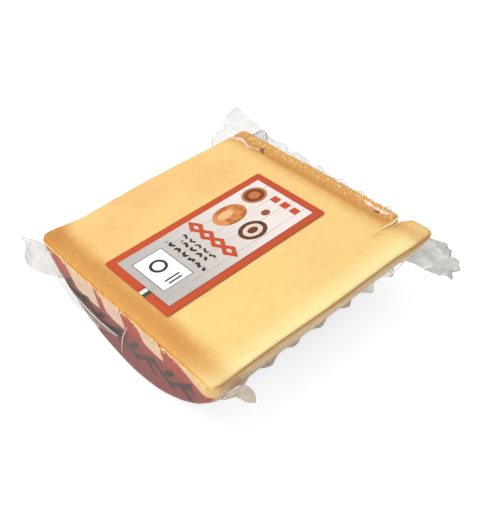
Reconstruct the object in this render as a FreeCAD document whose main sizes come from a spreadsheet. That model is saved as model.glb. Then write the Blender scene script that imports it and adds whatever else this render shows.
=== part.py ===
import FreeCAD, Part

# Vacuum packed piece of hard cheese, lying on its heel with the cut face up.
#
# The piece is a segment cut from one side of a small cylindrical wheel: two flat ends (the
# wheel's two flat faces), a curved heel (the wheel's rim) and a nearly square cut face. A printed
# wrap covers both ends and the heel. A clear film bag is drawn tight over everything and stands
# out as crumpled ears and seams. A rectangular label lies on the film over the cut face.
#
# Frame, in millimetres: the origin is the middle of the flat strip that the pack rests on. X runs
# along the wheel's axis from one flat end to the other, Y across the cut face, Z up.

import math
import os

import Sketcher
from FreeCAD import Vector

SIZES = (
    # alias, value, meaning
    ("wheel_radius", 75.9, "radius of the wheel, that of the curved heel"),
    ("wheel_height", 138.0, "height of the wheel, the length of the piece along X"),
    ("cut_depth", 45.6, "from the underside of the heel up to the cut face"),
    ("rest_width", 20.0, "width across Y of the flat strip under the pack"),
    ("rim_round", 5.0, "rounding of the wheel's rim, where the flat ends meet the heel"),
    ("edge_round", 2.0, "rounding of the cut face's edges"),
    ("trough_width", 10.0, "width of the dip along each rind edge of the cut face"),
    ("trough_depth", 0.8, "depth of that dip"),
    ("trough_inset", 7.5, "from the flat end to the middle of the dip"),
    ("notch_place", 52.0, "from the middle of the piece to the split in its far edge"),
    ("notch_mouth", 8.0, "width of the split where it leaves the pack's far end"),
    ("notch_length", 10.0, "length of the split inwards from the pack's far end"),
    ("notch_depth", 9.0, "depth of the split below the cut face"),
    ("wrap_gauge", 0.3, "thickness of the printed wrap"),
    ("wrap_setback", 3.0, "from the cut face down to the wrap's trimmed edge"),
    ("long_fold_place", 57.0, "middle, along Y, of the long scrap folded over the far edge"),
    ("long_fold_width", 22.0, "length of that scrap along the edge"),
    ("long_fold_reach", 9.0, "reach of that scrap onto the cut face"),
    ("short_fold_place", -32.0, "middle, along Y, of the short scrap folded over the far edge"),
    ("short_fold_width", 11.0, "length of that scrap along the edge"),
    ("short_fold_reach", 5.0, "reach of that scrap onto the cut face"),
    ("film_gap", 0.1, "play between the wrapped cheese and the film"),
    ("film_gauge", 0.3, "thickness of the film over the cheese"),
    ("web_gauge", 0.8, "thickness of the two pressed films in the ears and seams"),
    ("web_root", 1.5, "depth at which ears and seams start inside the pack's outer face"),
    ("fin_reach", 10.0, "reach of the seam along the far edge, at its wide end"),
    ("fin_drop", 4.8, "from the top of the pack down to that seam"),
    ("top_ear_drop", 2.2, "from the top of the pack down to the ear above the seam's wide end"),
    ("fringe_drop", 26.0, "from the top of the pack down to the seams on the heel"),
    ("fringe_reach", 5.5, "reach of the seams on the heel at the crest of their widest wave"),
    ("fringe_wave", 1.8, "height of those seams' waves, either way"),
    ("fringe_pitch", 24.0, "length of one of those waves"),
    ("label_length", 102.0, "length of the label along X"),
    ("label_width", 50.0, "width of the label along Y"),
    ("label_gauge", 0.2, "thickness of the label"),
    ("label_shift_x", -6.25, "middle of the label from the middle of the pack, along X"),
    ("label_shift_y", 4.0, "middle of the label from the middle of the pack, along Y"),
)
SIZE = {alias: value for alias, value, meaning in SIZES}

# Sums that several pieces share, as expressions on the sheet's cells.
STACK = "(Dims.wrap_gauge + Dims.film_gap + Dims.film_gauge)"
PLAY = "(Dims.wrap_gauge + Dims.film_gap)"
AXIS_HEIGHT = f"sqrt((Dims.wheel_radius + {STACK})^2 - (Dims.rest_width / 2)^2)"
CUT_HEIGHT = f"({STACK} + Dims.cut_depth)"
HALF_LENGTH = "(Dims.wheel_height / 2)"
PACK_END = f"({HALF_LENGTH} + {STACK})"

# The same sums as numbers, for the first shape of each sketch and for the film's free forms.
play = SIZE["wrap_gauge"] + SIZE["film_gap"]
stack = play + SIZE["film_gauge"]
pack_radius = SIZE["wheel_radius"] + stack
axis_height = math.sqrt(pack_radius ** 2 - (SIZE["rest_width"] / 2) ** 2)
cut_height = stack + SIZE["cut_depth"]
half_length = SIZE["wheel_height"] / 2
pack_end = half_length + stack
pack_top = cut_height + stack
pack_side = math.sqrt(pack_radius ** 2 - (axis_height - pack_top) ** 2)

TOUCH = 0.001  # two places this near are the same

doc = FreeCAD.newDocument("cheese_pack")


# ---------------------------------------------------------------- helpers for the document

def make_sheet():
    """The spreadsheet of driving dimensions, one aliased cell each."""
    sheet = doc.addObject("Spreadsheet::Sheet", "Dims")
    for row, (alias, value, meaning) in enumerate(SIZES, start=1):
        sheet.set(f"A{row}", meaning)
        sheet.set(f"B{row}", str(value))
        sheet.setAlias(f"B{row}", alias)
    doc.recompute()


def add_sketch(body, name, role):
    """A sketch on one of the body's own origin planes."""
    sketch = body.newObject("Sketcher::SketchObject", name)
    plane = next(item for item in body.Origin.OriginFeatures if item.Role == role)
    sketch.AttachmentSupport = (plane, [""])
    sketch.MapMode = "FlatFace"
    return sketch


def tie(sketch, kind, *arguments):
    """A sketch constraint without a size."""
    sketch.addConstraint(Sketcher.Constraint(kind, *arguments))


def drive(sketch, name, kind, *arguments, value, by):
    """A named sketch constraint whose size follows an expression."""
    index = sketch.addConstraint(Sketcher.Constraint(kind, *arguments, value))
    sketch.renameConstraint(index, name)
    sketch.setExpression(f"Constraints.{name}", by)


def add_polygon(sketch, corners):
    """Straight lines from corner to corner and back to the first, joined at their ends."""
    following = corners[1:] + corners[:1]
    lines = [sketch.addGeometry(Part.LineSegment(a, b)) for a, b in zip(corners, following)]
    for line, after in zip(lines, lines[1:] + lines[:1]):
        tie(sketch, "Coincident", line, 2, after, 1)
    return lines


def add_box(name, length, width, height, x, y, z):
    """A box sized by expressions and centred by expressions on x and y, standing on z."""
    box = doc.addObject("Part::Box", name)
    box.setExpression("Length", length)
    box.setExpression("Width", width)
    box.setExpression("Height", height)
    box.setExpression("Placement.Base.x", f"{x} - ({length}) / 2")
    box.setExpression("Placement.Base.y", f"{y} - ({width}) / 2")
    box.setExpression("Placement.Base.z", z)
    return box


def combine(kind, name, base, tool):
    """A boolean of two objects: kind is Cut or Common."""
    result = doc.addObject(f"Part::{kind}", name)
    result.Base = base
    result.Tool = tool
    return result


def fuse(name, shapes):
    """One solid from objects that run into each other."""
    result = doc.addObject("Part::MultiFuse", name)
    result.Shapes = shapes
    return result


# ---------------------------------------------------------------- the piece's own form

def make_block(name, offset, by):
    """A wheel segment with rounded edges and a flat under its heel, grown outwards by offset.

    The same offset as an expression is given as by.
    """
    body = doc.addObject("PartDesign::Body", name)
    radius = SIZE["wheel_radius"] + offset
    top = cut_height + offset
    tip = math.asin((axis_height - top) / radius)
    reach = radius * math.cos(tip)

    profile = add_sketch(body, f"{name}_profile", "YZ_Plane")
    rim = Part.Circle(Vector(0, axis_height, 0), Vector(0, 0, 1), radius)
    heel = profile.addGeometry(Part.ArcOfCircle(rim, math.pi + tip, 2 * math.pi - tip))
    face = profile.addGeometry(Part.LineSegment(Vector(reach, top), Vector(-reach, top)))
    tie(profile, "Coincident", heel, 2, face, 1)
    tie(profile, "Coincident", heel, 1, face, 2)
    tie(profile, "Horizontal", face)
    tie(profile, "PointOnObject", heel, 3, -2)
    drive(profile, "axis", "DistanceY", -1, 1, heel, 3, value=axis_height, by=AXIS_HEIGHT)
    drive(profile, "rim", "Radius", heel, value=radius, by=f"Dims.wheel_radius + {by}")
    drive(profile, "face", "DistanceY", -1, 1, face, 1, value=top, by=f"{CUT_HEIGHT} + {by}")

    pad = body.newObject("PartDesign::Pad", f"{name}_length")
    pad.Profile = profile
    pad.SideType = "Symmetric"
    pad.setExpression("Length", f"Dims.wheel_height + 2 * {by}")
    doc.recompute()

    rim_edges = [edge for edge in numbered_edges(pad) if edge[1].Curve.TypeId == "Part::GeomCircle"]
    rounded_rim = add_rounding(body, f"{name}_rim", pad, rim_edges, f"Dims.rim_round + {by}")
    cut_edges = [edge for edge in numbered_edges(rounded_rim)
                 if min(vertex.Z for vertex in edge[1].Vertexes) > top - TOUCH]
    add_rounding(body, f"{name}_edge", rounded_rim, cut_edges, f"Dims.edge_round + {by}")
    make_rest(body, by)
    return body


def numbered_edges(feature):
    """The edges of a feature with the names that a fillet knows them by."""
    return [(f"Edge{number}", edge) for number, edge in enumerate(feature.Shape.Edges, start=1)]


def add_rounding(body, name, feature, edges, radius):
    """A fillet on some numbered edges of a feature, its radius an expression."""
    rounding = body.newObject("PartDesign::Fillet", name)
    rounding.Base = (feature, [label for label, edge in edges])
    rounding.setExpression("Radius", radius)
    doc.recompute()
    return rounding


def make_rest(body, by):
    """Cut the flat strip that a block of the given offset rests on, along its whole length."""
    wide = SIZE["rest_width"]
    below = add_sketch(body, f"{body.Name}_below", "YZ_Plane")
    below.setExpression("AttachmentOffset.Base.y", f"{STACK} - {by}")
    corners = [Vector(-wide, -wide), Vector(wide, -wide), Vector(wide, 0), Vector(-wide, 0)]
    bottom, right, level, left = add_polygon(below, corners)
    tie(below, "Horizontal", bottom)
    tie(below, "Vertical", right)
    tie(below, "Vertical", left)
    tie(below, "PointOnObject", level, 1, -1)
    tie(below, "Symmetric", level, 1, level, 2, -2)
    drive(below, "across", "DistanceX", level, 2, level, 1, value=2 * wide, by="2 * Dims.rest_width")
    drive(below, "down", "DistanceY", right, 1, right, 2, value=wide, by="Dims.rest_width")

    rest = body.newObject("PartDesign::Pocket", f"{body.Name}_rest")
    rest.Profile = below
    rest.Type = "ThroughAll"
    rest.SideType = "Symmetric"
    doc.recompute()


def make_notch():
    """The wedge-shaped split in the far edge, as a tool that cuts the cheese and its wrap."""
    body = doc.addObject("PartDesign::Body", "notch")
    plan = add_sketch(body, "notch_plan", "XY_Plane")
    plan.setExpression("AttachmentOffset.Base.z", f"{CUT_HEIGHT} + {STACK}")
    middle = -SIZE["notch_place"]
    half_mouth = SIZE["notch_mouth"] / 2
    tip = Vector(pack_end - SIZE["notch_length"], middle)
    corners = [tip, Vector(pack_end, middle - half_mouth), Vector(pack_end, middle + half_mouth)]
    near, mouth, far = add_polygon(plan, corners)
    tie(plan, "Vertical", mouth)
    tie(plan, "Equal", near, far)
    drive(plan, "place", "DistanceY", near, 1, -1, 1, value=-middle, by="Dims.notch_place")
    drive(plan, "length", "DistanceX", near, 1, mouth, 1, value=SIZE["notch_length"],
          by="Dims.notch_length")
    drive(plan, "end", "DistanceX", -1, 1, mouth, 1, value=pack_end, by=PACK_END)
    drive(plan, "mouth", "DistanceY", mouth, 1, mouth, 2, value=2 * half_mouth,
          by="Dims.notch_mouth")

    pad = body.newObject("PartDesign::Pad", "notch_depth")
    pad.Profile = plan
    pad.Reversed = True
    pad.setExpression("Length", f"Dims.notch_depth + {STACK}")
    doc.recompute()
    return body


def make_cheese(notch):
    """The cheese: the block with a dip along both rind edges and the split in its far edge."""
    body = make_block("cheese_block", 0.0, "0")
    plain_volume = body.Shape.Volume

    half = SIZE["trough_width"] / 2
    depth = SIZE["trough_depth"]
    radius = (half ** 2 + depth ** 2) / (2 * depth)
    bow = "((Dims.trough_width / 2)^2 + Dims.trough_depth^2) / (2 * Dims.trough_depth)"
    place = half_length - SIZE["trough_inset"]
    height = cut_height + radius - depth

    section = add_sketch(body, "trough_section", "XZ_Plane")
    dips = []
    for side in (1, -1):
        circle = Part.Circle(Vector(side * place, height, 0), Vector(0, 0, 1), radius)
        dips.append(section.addGeometry(circle))
    far, near = dips
    tie(section, "Equal", far, near)
    tie(section, "Symmetric", far, 3, near, 3, -2)
    drive(section, "bow", "Radius", far, value=radius, by=bow)
    drive(section, "place", "DistanceX", -1, 1, far, 3, value=place,
          by=f"{HALF_LENGTH} - Dims.trough_inset")
    drive(section, "height", "DistanceY", -1, 1, far, 3, value=height,
          by=f"{CUT_HEIGHT} + {bow} - Dims.trough_depth")

    troughs = body.newObject("PartDesign::Pocket", "troughs")
    troughs.Profile = section
    troughs.Type = "ThroughAll"
    troughs.SideType = "Symmetric"
    doc.recompute()
    if body.Shape.Volume >= plain_volume:
        raise RuntimeError("the dips along the rind edges cut nothing")
    return combine("Cut", "cheese", body, notch)


def make_wrap(notch):
    """The printed wrap: a skin on both flat ends and the heel, and two scraps on the cut face."""
    outer = make_block("wrap_outer", SIZE["wrap_gauge"], "Dims.wrap_gauge")
    core = make_block("wrap_core", 0.0, "0")
    skin = combine("Cut", "wrap_skin", outer, core)
    split = combine("Cut", "wrap_split", skin, notch)

    over = "2 * Dims.wheel_radius"
    trimmed = f"{CUT_HEIGHT} - Dims.wrap_setback"
    above = add_box("wrap_above", "2 * Dims.wheel_height", over, over, "0", "0", trimmed)
    scraps = []
    for fold in ("long_fold", "short_fold"):
        reach = f"Dims.{fold}_reach + 2 * {STACK}"
        middle = f"({PACK_END} + {STACK} - ({reach}) / 2)"
        scraps.append(add_box(fold, reach, f"Dims.{fold}_width", f"2 * Dims.wrap_setback",
                              middle, f"Dims.{fold}_place", trimmed))
    trim = combine("Cut", "wrap_trim", above, fuse("folds", scraps))
    return combine("Cut", "printed_wrap", split, trim)


# ---------------------------------------------------------------- the film bag

def heel_side(height):
    """Half the width, along Y, of the pack's curved heel at a height."""
    return math.sqrt(pack_radius ** 2 - (axis_height - height) ** 2)


def heel_root(x_side, y_side, drop):
    """Where an ear starts: just inside the flat end and the heel, at a drop below the top."""
    height = pack_top - drop
    return Vector(x_side * (pack_end - SIZE["web_root"]),
                  y_side * (heel_side(height) - SIZE["web_root"]), height)


def beyond_corner(x_side, y_side, places):
    """Points by how far each lies beyond the flat end, beyond the long edge and below the top."""
    return [Vector(x_side * (pack_end + past_end), y_side * (pack_side + past_side), pack_top - drop)
            for past_end, past_side, drop in places]


def along(points, share):
    """The point at a share of the way along a smooth curve through a few points."""
    curve = Part.BSplineCurve()
    curve.interpolate(points)
    return curve.value(curve.FirstParameter + share * (curve.LastParameter - curve.FirstParameter))


def shares(count):
    """Evenly spaced shares from 0 to 1."""
    return [number / (count - 1) for number in range(count)]


def add_web(name, rows, facing):
    """Two pressed films as one solid: a smooth sheet through rows of points, given a thickness."""
    surface = Part.BSplineSurface()
    surface.interpolate(rows)
    sheet = doc.addObject("Part::Feature", f"{name}_sheet")
    sheet.Shape = surface.toShape()
    web = doc.addObject("Part::Extrusion", name)
    web.Base = sheet
    web.DirMode = "Custom"
    web.Dir = facing
    web.Symmetric = True
    web.setExpression("LengthFwd", "Dims.web_gauge")
    return web


def add_ear(name, lower, upper, facing, ripple):
    """A crumpled ear between a lower and an upper edge, both from the pack out to the tip.

    Two ripples run across it, and a third of a turn of twist carries them along to the tip, where
    they are highest.
    """
    ripples = 2
    twist = 2 * math.pi / 3
    rows = []
    for out in shares(7):
        low = along(lower, out)
        high = along(upper, out)
        row = []
        for across in shares(9):
            swing = ripple * out * math.sin(2 * math.pi * ripples * across + twist * out)
            row.append(low + (high - low) * across + facing * swing)
        rows.append(row)
    return add_web(name, rows, facing)


def make_left_ear():
    """Upright ear at the near end's +Y corner, in line with the flat end, drooping outwards."""
    lower = [heel_root(-1, 1, 24)] + beyond_corner(-1, 1, ((1.5, 3, 30), (3, 23, 34.5)))
    upper = [heel_root(-1, 1, 4)] + beyond_corner(-1, 1, ((1.5, 12, 8), (3, 20, 12)))
    return add_ear("left_ear", lower, upper, Vector(1, 0, 0), ripple=1.2)


def make_right_ear():
    """Ear at the far end's -Y corner, turned outwards and hanging almost to the ground."""
    lower = [heel_root(1, -1, 27)] + beyond_corner(1, -1, ((3, -3, 29), (16, 4, 38)))
    upper = [heel_root(1, -1, 3.5)] + beyond_corner(1, -1, ((4, 4, 7), (8, 6, 17), (17, 6, 27)))
    return add_ear("right_ear", lower, upper, Vector(0.7, 0.7, 0), ripple=1.6)


def make_top_ear():
    """Level ear at the far end's +Y corner, spread round the corner a little below the top."""
    drop = SIZE["top_ear_drop"]
    past_side = beyond_corner(1, 1, ((-20, -5, drop), (-12, 6, drop), (-1, 10.5, drop), (3, 16, 0.5)))
    past_end = beyond_corner(1, 1, ((-3, -20, drop), (7.5, -9, drop), (12, 7, drop), (12, 16, 1.5)))
    return add_ear("top_ear", past_side, past_end, Vector(0, 0, 1), ripple=1.2)


def make_front_curl():
    """Ear at the near end's -Y corner, folded back along the heel and hanging from it."""
    free = beyond_corner(-1, -1, ((-6, -8, 19), (-12, -6, 23), (-20, -7, 27), (-24, -8, 31)))
    held = [heel_root(-1, -1, 13) + Vector(back, 0, 0) for back in (3, 10, 16, 20)]
    return add_ear("front_curl", free, held, Vector(0, 0.7, -0.7), ripple=0.8)


def make_fin():
    """Seam along the far end just under the cut face, narrowing away from the top ear.

    Past its wide part only small loops of film stand out.
    """
    level = pack_top - SIZE["fin_drop"]
    root = pack_end - SIZE["web_root"]
    start = pack_side - 6
    end = -pack_side + 32
    loops = (start - end) / SIZE["fringe_pitch"]
    least = 1.0
    loop_reach = 1.2
    flutter = 0.8
    rows = []
    for share in shares(25):
        phase = 2 * math.pi * loops * share
        taper = (1 - share) ** 1.3
        reach = least + (SIZE["fin_reach"] - least) * taper
        reach += loop_reach * (1 - taper) * (1 - math.cos(phase))
        row = []
        for out in shares(4):
            row.append(Vector(root + out * (SIZE["web_root"] + reach),
                              start + share * (end - start),
                              level + flutter * out * math.sin(phase)))
        rows.append(row)
    return add_web("far_fin", rows, Vector(0, 0, 1))


def make_fringe(name, side, lag):
    """Wavy seam along the heel on the +Y or the -Y side, widening towards the far end."""
    margin = 10
    per_wave = 6
    run = 2 * (pack_end - margin)
    waves = run / SIZE["fringe_pitch"]
    narrowest = 0.35
    level = pack_top - SIZE["fringe_drop"]
    root = heel_side(level) - SIZE["web_root"]
    rows = []
    for share in shares(round(waves * per_wave) + 1):
        phase = 2 * math.pi * waves * share + lag
        widening = narrowest + (1 - narrowest) * share ** 2
        reach = SIZE["fringe_reach"] * widening * (0.65 + 0.35 * math.cos(phase))
        row = []
        for out in shares(4):
            row.append(Vector(-pack_end + margin + share * run,
                              side * (root + out * (SIZE["web_root"] + reach)),
                              level + SIZE["fringe_wave"] * out * math.sin(phase)))
        rows.append(row)
    return add_web(name, rows, Vector(0, 0, 1))


def make_film_bag():
    """The clear bag: a tight skin over the wrapped cheese, with its ears and seams."""
    outer = make_block("bag_outer", stack, STACK)
    cavity = make_block("bag_cavity", play, PLAY)
    webs = [make_left_ear(), make_right_ear(), make_top_ear(), make_front_curl(), make_fin(),
            make_fringe("near_fringe", -1, 0.0), make_fringe("back_fringe", 1, 2.0)]
    return combine("Cut", "film_bag", fuse("bag_solid", [outer] + webs), cavity)


def make_label():
    """The label on the film, over the cut face."""
    return add_box("label", "Dims.label_length", "Dims.label_width", "Dims.label_gauge",
                   "Dims.label_shift_x", "Dims.label_shift_y", f"{CUT_HEIGHT} + {STACK}")


# ---------------------------------------------------------------- build, check and write

def check(pieces):
    """Stop unless every object recomputed and every piece is one sound solid."""
    for item in doc.Objects:
        if any(word in item.State for word in ("Invalid", "Error")):
            raise RuntimeError(f"{item.Name} did not recompute: {item.State}")
    for piece in pieces:
        shape = piece.Shape
        if shape.isNull() or not shape.isValid() or len(shape.Solids) != 1:
            raise RuntimeError(f"{piece.Name} is not one valid solid")
        size = shape.optimalBoundingBox()
        print(f"{piece.Label:14s} {shape.Volume / 1000:9.3f} cm3  "
              f"x {size.XMin:.2f}..{size.XMax:.2f}  y {size.YMin:.2f}..{size.YMax:.2f}  "
              f"z {size.ZMin:.2f}..{size.ZMax:.2f}")


def main():
    make_sheet()
    notch = make_notch()
    pieces = [make_cheese(notch), make_wrap(notch), make_film_bag(), make_label()]
    doc.recompute()
    for piece in pieces:
        piece.Label = piece.Name
    check(pieces)
    os.makedirs("parts", exist_ok=True)
    for piece in pieces:
        piece.Shape.exportStep(f"parts/{piece.Label}.step")


main()
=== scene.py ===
"""Vacuum-packed cheese segment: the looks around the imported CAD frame.

Shapes are worked out in millimetres in the part's own frame: the origin is the middle of the flat
strip that the pack rests on, X runs from one flat end to the other, Y across the cut face, Z up.
"""

import math
import random
from functools import partialmethod

import bmesh
import bpy
import numpy as np
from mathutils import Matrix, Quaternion, Vector


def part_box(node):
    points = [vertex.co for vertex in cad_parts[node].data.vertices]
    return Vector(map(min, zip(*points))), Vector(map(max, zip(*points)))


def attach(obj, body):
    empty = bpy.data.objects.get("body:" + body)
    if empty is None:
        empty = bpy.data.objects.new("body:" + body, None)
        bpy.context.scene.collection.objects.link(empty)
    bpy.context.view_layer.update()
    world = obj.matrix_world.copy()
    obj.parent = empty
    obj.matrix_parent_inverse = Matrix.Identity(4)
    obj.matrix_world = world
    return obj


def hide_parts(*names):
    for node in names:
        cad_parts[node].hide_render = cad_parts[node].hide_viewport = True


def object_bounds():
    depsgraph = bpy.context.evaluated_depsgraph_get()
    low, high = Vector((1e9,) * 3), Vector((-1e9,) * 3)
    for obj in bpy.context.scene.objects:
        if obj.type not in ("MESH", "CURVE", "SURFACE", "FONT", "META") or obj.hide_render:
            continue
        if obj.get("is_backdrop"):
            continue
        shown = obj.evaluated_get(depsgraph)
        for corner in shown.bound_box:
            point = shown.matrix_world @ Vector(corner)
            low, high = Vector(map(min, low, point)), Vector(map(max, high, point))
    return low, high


MM = 0.001

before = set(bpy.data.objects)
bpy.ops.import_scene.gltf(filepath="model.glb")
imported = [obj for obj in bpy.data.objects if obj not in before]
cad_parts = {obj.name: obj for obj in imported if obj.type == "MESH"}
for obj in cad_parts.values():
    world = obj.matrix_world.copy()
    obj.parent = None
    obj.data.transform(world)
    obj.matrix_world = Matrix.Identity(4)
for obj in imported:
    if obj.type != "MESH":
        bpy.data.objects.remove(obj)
cad_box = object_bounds()

# ---------------------------------------------------------------- driving sizes, in millimetres

WHEEL_RADIUS = 75.9  # radius of the wheel that the piece was cut from
REST_WIDTH = 20.0  # width of the flat strip under the pack
RIM_ROUND = 5.0  # rounding where the flat ends meet the heel
EDGE_ROUND = 2.0  # rounding of the cut face's edges

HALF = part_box("cheese")[1].x / MM  # from the middle to the cheese's flat end
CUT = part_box("cheese")[1].z / MM  # height of the cut face
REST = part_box("cheese")[0].z / MM  # height of the cheese's underside, over wrap and film
AXIS = math.sqrt((WHEEL_RADIUS + REST) ** 2 - (REST_WIDTH / 2) ** 2)  # height of the wheel's axis
SIDE = math.sqrt(WHEEL_RADIUS ** 2 - (AXIS - CUT) ** 2)  # from the middle to the cut face's long edges

WRAP_OUT = 0.18  # from the cheese out to the printed wrap
FILM_OUT = 0.42  # from the cheese out to the film's inner side
FILM_GAUGE = 0.12  # thickness of the film
WRAP_GAUGE = 0.1  # thickness of the printed wrap
DOUBLE_GAUGE = 0.2  # thickness of the two films that make an ear or a seam
CREASE_GAUGE = 0.06  # thickness of a crease of the film
SCRAP_GAUGE = 0.08  # thickness of the folded scraps of the wrap
SCRAP_LIFT = 0.26  # from the cut face up to the scraps
NEAR_CRUMB_OUT = 0.24  # from the near end out to the middle of its crumbs
FAR_CRUMB_LIFT = 0.16  # from the cut face up to the middle of the far crumbs
LABEL_BORDER = 4.5  # width of the label's border

label_low, label_high = (np.array(corner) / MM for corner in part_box("label"))
LABEL_MIDDLE = (label_low + label_high) / 2
LABEL_SIZE = label_high - label_low

# the CAD node that the pieces of each slot replace
NODE_OF_SLOT = {"cheese": "cheese", "printed_wrap": "printed_wrap", "film": "film_bag", "label": "label"}


# ---------------------------------------------------------------- number helpers

def smooth(value, low, high):
    """0 below low, 1 above high and a smooth step between them."""
    share = np.clip((value - low) / (high - low), 0.0, 1.0)
    return share * share * (3.0 - 2.0 * share)


def hump(value, middle, reach):
    """1 at the middle, falling smoothly to 0 at reach on both sides."""
    share = np.clip(np.abs(value - middle) / reach, 0.0, 1.0)
    return 0.5 + 0.5 * np.cos(math.pi * share)


def lattice(cells, seed):
    """A repeatable random number from -1 to 1 for each whole-number place in space."""
    mixed = (cells[..., 0] * 73856093) ^ (cells[..., 1] * 19349663) ^ (cells[..., 2] * 83492791)
    mixed = (mixed + seed * 2654435761) & 0xFFFFFFFF
    for shift in (16, 13):
        mixed = ((mixed ^ (mixed >> shift)) * 0x45D9F3B) & 0xFFFFFFFF
    return ((mixed ^ (mixed >> 16)) & 0xFFFF) / 32767.5 - 1.0


def noise(points, size, seed=0):
    """Smooth noise from -1 to 1 whose lumps are about size across."""
    scaled = np.asarray(points) / size
    cells = np.floor(scaled).astype(np.int64)
    part = scaled - cells
    part = part * part * (3.0 - 2.0 * part)
    total = 0.0
    for corner in np.ndindex(2, 2, 2):
        weight = np.prod(np.where(np.array(corner) == 1, part, 1.0 - part), axis=-1)
        total = total + weight * lattice(cells + np.array(corner), seed)
    return total


def layered(points, size, seed=0, layers=3):
    """Noise with finer and finer layers, each half as strong."""
    total = 0.0
    for layer in range(layers):
        total = total + noise(points, size / 2 ** layer, seed + layer) / 2 ** layer
    return total


def fold_phases(points, size, seed, count=5):
    """For several directions, the phase of a wave at each point, and the wave's length."""
    draw = random.Random(seed)
    bent = points + size * 0.3 * np.stack([noise(points, size * 1.7, seed + 40 + axis)
                                           for axis in range(3)], axis=-1)
    for number in range(count):
        turn = Vector([draw.gauss(0, 1) for axis in range(3)]).normalized()
        length = size * draw.uniform(0.7, 1.6)
        yield (bent @ np.array(turn)) / length + draw.random(), length


def folds(points, size, seed=0):
    """Straight-sided crumples with sharp crests in several directions, from about -1 to 1."""
    total = 0.0
    weights = 0.0
    for phase, length in fold_phases(points, size, seed):
        ridge = 4.0 * np.abs(phase - np.floor(phase) - 0.5) - 1.0
        total = total + ridge * length
        weights += length
    return total / weights * 1.6


def fold_highlights_and_shade(points, size, seed=0):
    """Painted highlights as broken lines on the crests of those crumples, and a painted shade from 0 to 1
    that differs facet by facet.
    """
    lines = np.zeros(len(points))
    tone = 0.0
    for number, (phase, length) in enumerate(fold_phases(points, size, seed)):
        part = phase - np.floor(phase)
        from_crest = np.minimum(part, 1.0 - part) * length
        broken = smooth(noise(points, size * 0.8, seed + 60 + number), 0.3, 0.5)
        lines = np.maximum(lines, np.clip(1.2 - from_crest / 0.35, 0.0, 1.0) * broken)
        tone = tone + (np.floor(2.0 * phase) % 2) / 5.0
    return lines, tone


# ---------------------------------------------------------------- the uneven form of the piece

NOTCH_PLACE = -49.5  # where the split in the far edge lies along Y
NOTCH_TIP = 58.0  # how far along X the split starts
NOTCH_DEPTH = 9.0  # how far the split reaches below the cut face
FLAP_FROM = 53.0  # towards -Y from here the far edge rises into a loose flap
FLAP_TO = 58.0  # where the flap has its full height
TROUGH_PLACE = HALF - 8.0  # middle of the shallow trough along the near end
TROUGH_REACH = 6.5  # half the trough's width


def face_relief(x, y):
    """Height of the cut face above its plane."""
    flat = np.stack([x, y, np.zeros_like(x)], axis=-1)
    inside = 1.0 - smooth(y, SIDE - 24.0, SIDE - 4.0)
    near_dip = -0.3 * hump(x, -TROUGH_PLACE, TROUGH_REACH) * inside
    far_dip = -0.9 * hump(x, HALF - 6.0, 5.0) * inside * smooth(y, -SIDE + 12.0, -SIDE + 34.0)
    lip = (0.7 + 0.2 * layered(flat, 5.0, 3)) * smooth(x, HALF - 5.5, HALF - 2.0)
    flap = smooth(-y, FLAP_FROM, FLAP_TO) * smooth(x, HALF - 18.0, HALF)
    flap = flap - 0.8 * hump(-y, FLAP_FROM, 3.5) * smooth(x, HALF - 6.0, HALF)
    corner = 2.0 * smooth(y - x, HALF + SIDE - 30.0, HALF + SIDE - 4.0)
    sway = 0.25 * noise(flat, 45.0, 11)
    return near_dip + far_dip + lip + flap + corner + sway


def notch_share(points):
    """How deep inside the split in the far edge a point lies, from 0 to 1."""
    x, y, z = points[..., 0], points[..., 1], points[..., 2]
    run = smooth(x, NOTCH_TIP, HALF + 1.0)
    half_width = 0.4 + 3.8 * run
    across = np.clip(1.2 - np.abs(y - NOTCH_PLACE) / half_width, 0.0, 1.0)
    return run * across * smooth(z, CUT - 12.0, CUT - 4.0)


def settle(points):
    """Bends the plain segment into the uneven one. Cheese, wrap and film all go through this."""
    moved = np.array(points, dtype=float)
    x, y, z = (moved[..., axis].copy() for axis in range(3))
    high = smooth(z, CUT - 14.0, CUT - 1.0)

    moved[..., 2] += high * face_relief(x, y)
    bow = 2.3 * np.cos(math.pi / 2 * np.clip(x / (HALF + 4.0), -1, 1)) ** 2
    moved[..., 1] += bow * smooth(y, SIDE - 25.0, SIDE)
    moved[..., 1] += 1.6 * high * smooth(y - x, HALF + SIDE - 26.0, HALF + SIDE - 6.0)
    moved[..., 1] -= 0.5 * noise(points, 30.0, 5) * smooth(-y, SIDE - 20.0, SIDE)
    drawn_in = (1.3 + 1.5 * smooth(-x, -10.0, 55.0)) * smooth(-x, -64.0, -40.0)
    moved[..., 1] += high * drawn_in * smooth(-y, SIDE - 30.0, SIDE)
    moved[..., 1] -= 1.5 * high * smooth(x, HALF - 6.0, HALF) * smooth(-y, SIDE - 12.0, SIDE - 5.0)

    far = smooth(x, HALF - 12.0, HALF)
    moved[..., 0] += far * high * (0.9 + 0.5 * noise(points, 16.0, 6))
    moved[..., 0] += far * high * (0.9 * smooth(-y, FLAP_FROM, FLAP_TO) - 1.6 * hump(-y, 51.0, 5.0))

    low_corner = smooth(-x, HALF - 25.0, HALF) * smooth(-y, 12.0, 45.0)
    moved[..., 2] += 1.2 * low_corner * (1.0 - smooth(z, 4.0, CUT - 8.0))
    return moved


# ---------------------------------------------------------------- meshes

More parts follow.
